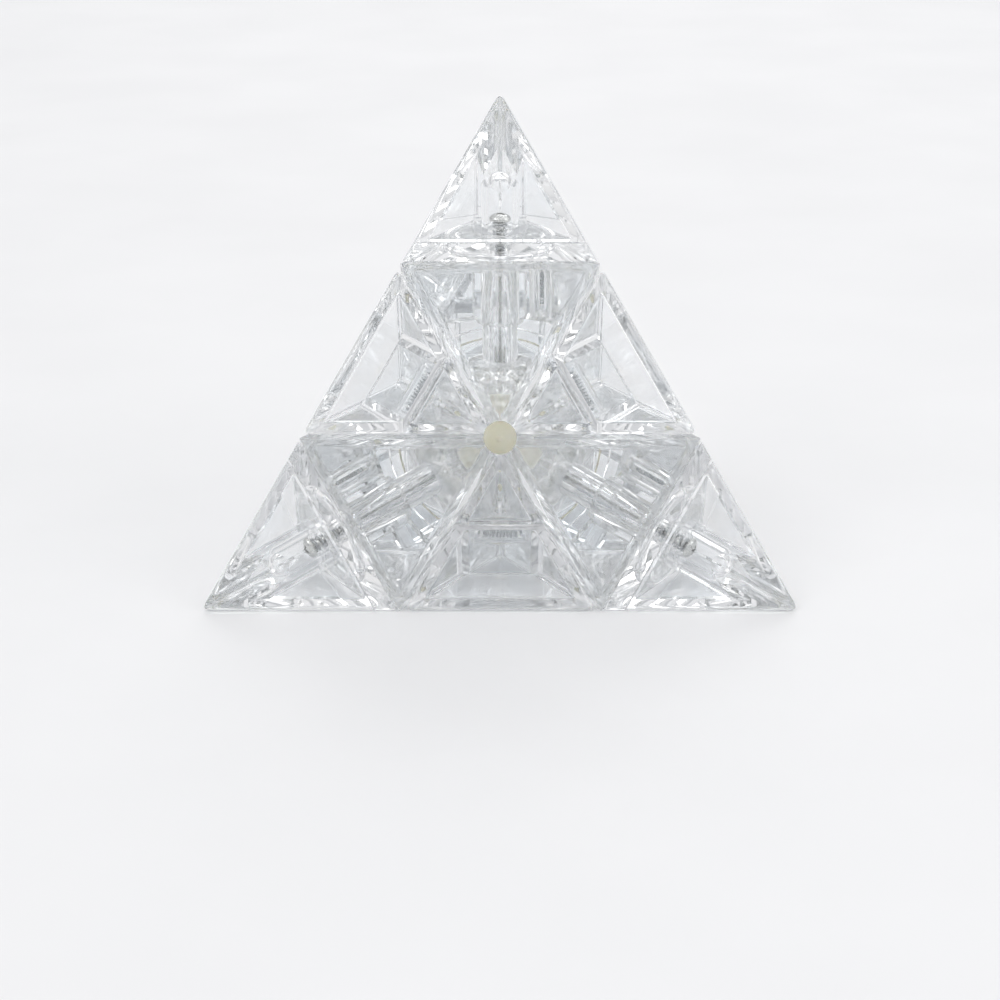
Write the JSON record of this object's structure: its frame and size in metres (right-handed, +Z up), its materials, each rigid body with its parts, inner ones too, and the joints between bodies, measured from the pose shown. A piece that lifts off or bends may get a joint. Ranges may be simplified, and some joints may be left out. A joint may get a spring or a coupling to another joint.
{
  "type": "pyramid twisty puzzle",
  "caption": "Clear pyramid twisty puzzle: tips, corner pieces and edge pieces turn in layers round an ivory core, held by sprung screws, with click balls between them.",
  "frame": {"origin": "centre of the core, where the four turning axes meet; the base face lies 20.0 mm below it", "axes": "+Z up along the top corner's turning axis, -Y towards the front face, X along the front bottom edge"},
  "size_m": [0.096, 0.0835, 0.0788],
  "materials": {
    "clear_plastic": "clear injection-moulded plastic, polished",
    "ivory_plastic": "ivory moulded plastic, satin",
    "screw_steel": "turned steel screw, bright",
    "spring_steel": "drawn spring wire",
    "ball_steel": "polished ball"
  },
  "bodies": {
    "core_and_base_layers": {"core": "ivory_plastic", "axle_screw_top": "screw_steel", "axle_screw_left": "screw_steel", "axle_screw_right": "screw_steel", "axle_screw_rear": "screw_steel", "main_spring_top": "spring_steel", "main_spring_left": "spring_steel", "main_spring_right": "spring_steel", "main_spring_rear": "spring_steel", "axial_left": "clear_plastic", "tip_click_spring_left": "spring_steel", "axial_right": "clear_plastic", "tip_click_spring_right": "spring_steel", "axial_rear": "clear_plastic", "tip_click_spring_rear": "spring_steel", "edge_cap_lower_front": "clear_plastic", "edge_body_lower_front": "clear_plastic", "edge_click_spring_lower_front": "spring_steel", "edge_cap_lower_left": "clear_plastic", "edge_body_lower_left": "clear_plastic", "edge_click_spring_lower_left": "spring_steel", "edge_cap_lower_right": "clear_plastic", "edge_body_lower_right": "clear_plastic", "edge_click_spring_lower_right": "spring_steel"},
    "top_layer": {"axial_top": "clear_plastic", "tip_click_spring_top": "spring_steel", "edge_cap_upper_left": "clear_plastic", "edge_body_upper_left": "clear_plastic", "edge_click_spring_upper_left": "spring_steel", "edge_cap_upper_right": "clear_plastic", "edge_body_upper_right": "clear_plastic", "edge_click_spring_upper_right": "spring_steel", "edge_cap_upper_rear": "clear_plastic", "edge_body_upper_rear": "clear_plastic", "edge_click_spring_upper_rear": "spring_steel"},
    "tip_top": {"tip_shell_top": "clear_plastic", "tip_base_top": "clear_plastic"},
    "tip_left": {"tip_shell_left": "clear_plastic", "tip_base_left": "clear_plastic"},
    "tip_right": {"tip_shell_right": "clear_plastic", "tip_base_right": "clear_plastic"},
    "tip_rear": {"tip_shell_rear": "clear_plastic", "tip_base_rear": "clear_plastic"},
    "click_ball_tip_top": {"tip_click_ball_top": "ball_steel"},
    "click_ball_tip_left": {"tip_click_ball_left": "ball_steel"},
    "click_ball_tip_right": {"tip_click_ball_right": "ball_steel"},
    "click_ball_tip_rear": {"tip_click_ball_rear": "ball_steel"},
    "click_ball_upper_left_a": {"edge_click_ball_upper_left_a": "ball_steel"},
    "click_ball_upper_left_b": {"edge_click_ball_upper_left_b": "ball_steel"},
    "click_ball_upper_right_a": {"edge_click_ball_upper_right_a": "ball_steel"},
    "click_ball_upper_right_b": {"edge_click_ball_upper_right_b": "ball_steel"},
    "click_ball_upper_rear_a": {"edge_click_ball_upper_rear_a": "ball_steel"},
    "click_ball_upper_rear_b": {"edge_click_ball_upper_rear_b": "ball_steel"},
    "click_ball_lower_front_a": {"edge_click_ball_lower_front_a": "ball_steel"},
    "click_ball_lower_front_b": {"edge_click_ball_lower_front_b": "ball_steel"},
    "click_ball_lower_left_a": {"edge_click_ball_lower_left_a": "ball_steel"},
    "click_ball_lower_left_b": {"edge_click_ball_lower_left_b": "ball_steel"},
    "click_ball_lower_right_a": {"edge_click_ball_lower_right_a": "ball_steel"},
    "click_ball_lower_right_b": {"edge_click_ball_lower_right_b": "ball_steel"}
  },
  "joints": [
    {"name": "top_layer_turn", "type": "hinge", "parent": "core_and_base_layers", "child": "top_layer", "pos_m": [0, 0, 0], "axis": [0, 0, 1], "continuous": true},
    {"name": "tip_top_turn", "type": "hinge", "parent": "top_layer", "child": "tip_top", "pos_m": [0, 0, 0.03334], "axis": [0, 0, 1], "continuous": true},
    {"name": "tip_left_turn", "type": "hinge", "parent": "core_and_base_layers", "child": "tip_left", "pos_m": [-0.02722, -0.01572, -0.01111], "axis": [-0.8165, -0.4714, -0.3333], "continuous": true},
    {"name": "tip_right_turn", "type": "hinge", "parent": "core_and_base_layers", "child": "tip_right", "pos_m": [0.02722, -0.01572, -0.01111], "axis": [0.8165, -0.4714, -0.3333], "continuous": true},
    {"name": "tip_rear_turn", "type": "hinge", "parent": "core_and_base_layers", "child": "tip_rear", "pos_m": [0, 0.03143, -0.01111], "axis": [0, 0.9428, -0.3333], "continuous": true},
    {"name": "tip_ball_top_press", "type": "slide", "parent": "top_layer", "child": "click_ball_tip_top", "axis": [0, 0, 1], "range_m": [-0.0006, 0], "stiffness_N_per_m": 60, "springref_m": 0.001, "deforming": ["tip_click_spring_top"]},
    {"name": "tip_ball_left_press", "type": "slide", "parent": "core_and_base_layers", "child": "click_ball_tip_left", "axis": [-0.8165, -0.4714, -0.3333], "range_m": [-0.0006, 0], "stiffness_N_per_m": 60, "springref_m": 0.001, "deforming": ["tip_click_spring_left"]},
    {"name": "tip_ball_right_press", "type": "slide", "parent": "core_and_base_layers", "child": "click_ball_tip_right", "axis": [0.8165, -0.4714, -0.3333], "range_m": [-0.0006, 0], "stiffness_N_per_m": 60, "springref_m": 0.001, "deforming": ["tip_click_spring_right"]},
    {"name": "tip_ball_rear_press", "type": "slide", "parent": "core_and_base_layers", "child": "click_ball_tip_rear", "axis": [0, 0.9428, -0.3333], "range_m": [-0.0006, 0], "stiffness_N_per_m": 60, "springref_m": 0.001, "deforming": ["tip_click_spring_rear"]},
    {"name": "edge_ball_upper_left_a_press", "type": "slide", "parent": "top_layer", "child": "click_ball_upper_left_a", "axis": [-0.5, -0.2887, -0.8165], "range_m": [-0.0006, 0], "stiffness_N_per_m": 60, "springref_m": 0.001, "deforming": ["edge_click_spring_upper_left"]},
    {"name": "edge_ball_upper_left_b_press", "type": "slide", "parent": "top_layer", "child": "click_ball_upper_left_b", "axis": [0.5, 0.2887, 0.8165], "range_m": [-0.0006, 0], "stiffness_N_per_m": 60, "springref_m": 0.001, "deforming": ["edge_click_spring_upper_left"]},
    {"name": "edge_ball_upper_right_a_press", "type": "slide", "parent": "top_layer", "child": "click_ball_upper_right_a", "axis": [-0.5, 0.2887, 0.8165], "range_m": [-0.0006, 0], "stiffness_N_per_m": 60, "springref_m": 0.001, "deforming": ["edge_click_spring_upper_right"]},
    {"name": "edge_ball_upper_right_b_press", "type": "slide", "parent": "top_layer", "child": "click_ball_upper_right_b", "axis": [0.5, -0.2887, -0.8165], "range_m": [-0.0006, 0], "stiffness_N_per_m": 60, "springref_m": 0.001, "deforming": ["edge_click_spring_upper_right"]},
    {"name": "edge_ball_upper_rear_a_press", "type": "slide", "parent": "top_layer", "child": "click_ball_upper_rear_a", "axis": [0, 0.5774, -0.8165], "range_m": [-0.0006, 0], "stiffness_N_per_m": 60, "springref_m": 0.001, "deforming": ["edge_click_spring_upper_rear"]},
    {"name": "edge_ball_upper_rear_b_press", "type": "slide", "parent": "top_layer", "child": "click_ball_upper_rear_b", "axis": [0, -0.5774, 0.8165], "range_m": [-0.0006, 0], "stiffness_N_per_m": 60, "springref_m": 0.001, "deforming": ["edge_click_spring_upper_rear"]},
    {"name": "edge_ball_lower_front_a_press", "type": "slide", "parent": "core_and_base_layers", "child": "click_ball_lower_front_a", "axis": [-1, 0, 0], "range_m": [-0.0006, 0], "stiffness_N_per_m": 60, "springref_m": 0.001, "deforming": ["edge_click_spring_lower_front"]},
    {"name": "edge_ball_lower_front_b_press", "type": "slide", "parent": "core_and_base_layers", "child": "click_ball_lower_front_b", "axis": [1, 0, 0], "range_m": [-0.0006, 0], "stiffness_N_per_m": 60, "springref_m": 0.001, "deforming": ["edge_click_spring_lower_front"]},
    {"name": "edge_ball_lower_left_a_press", "type": "slide", "parent": "core_and_base_layers", "child": "click_ball_lower_left_a", "axis": [0.5, 0.866, 0], "range_m": [-0.0006, 0], "stiffness_N_per_m": 60, "springref_m": 0.001, "deforming": ["edge_click_spring_lower_left"]},
    {"name": "edge_ball_lower_left_b_press", "type": "slide", "parent": "core_and_base_layers", "child": "click_ball_lower_left_b", "axis": [-0.5, -0.866, 0], "range_m": [-0.0006, 0], "stiffness_N_per_m": 60, "springref_m": 0.001, "deforming": ["edge_click_spring_lower_left"]},
    {"name": "edge_ball_lower_right_a_press", "type": "slide", "parent": "core_and_base_layers", "child": "click_ball_lower_right_a", "axis": [0.5, -0.866, 0], "range_m": [-0.0006, 0], "stiffness_N_per_m": 60, "springref_m": 0.001, "deforming": ["edge_click_spring_lower_right"]},
    {"name": "edge_ball_lower_right_b_press", "type": "slide", "parent": "core_and_base_layers", "child": "click_ball_lower_right_b", "axis": [-0.5, 0.866, 0], "range_m": [-0.0006, 0], "stiffness_N_per_m": 60, "springref_m": 0.001, "deforming": ["edge_click_spring_lower_right"]}
  ]
}
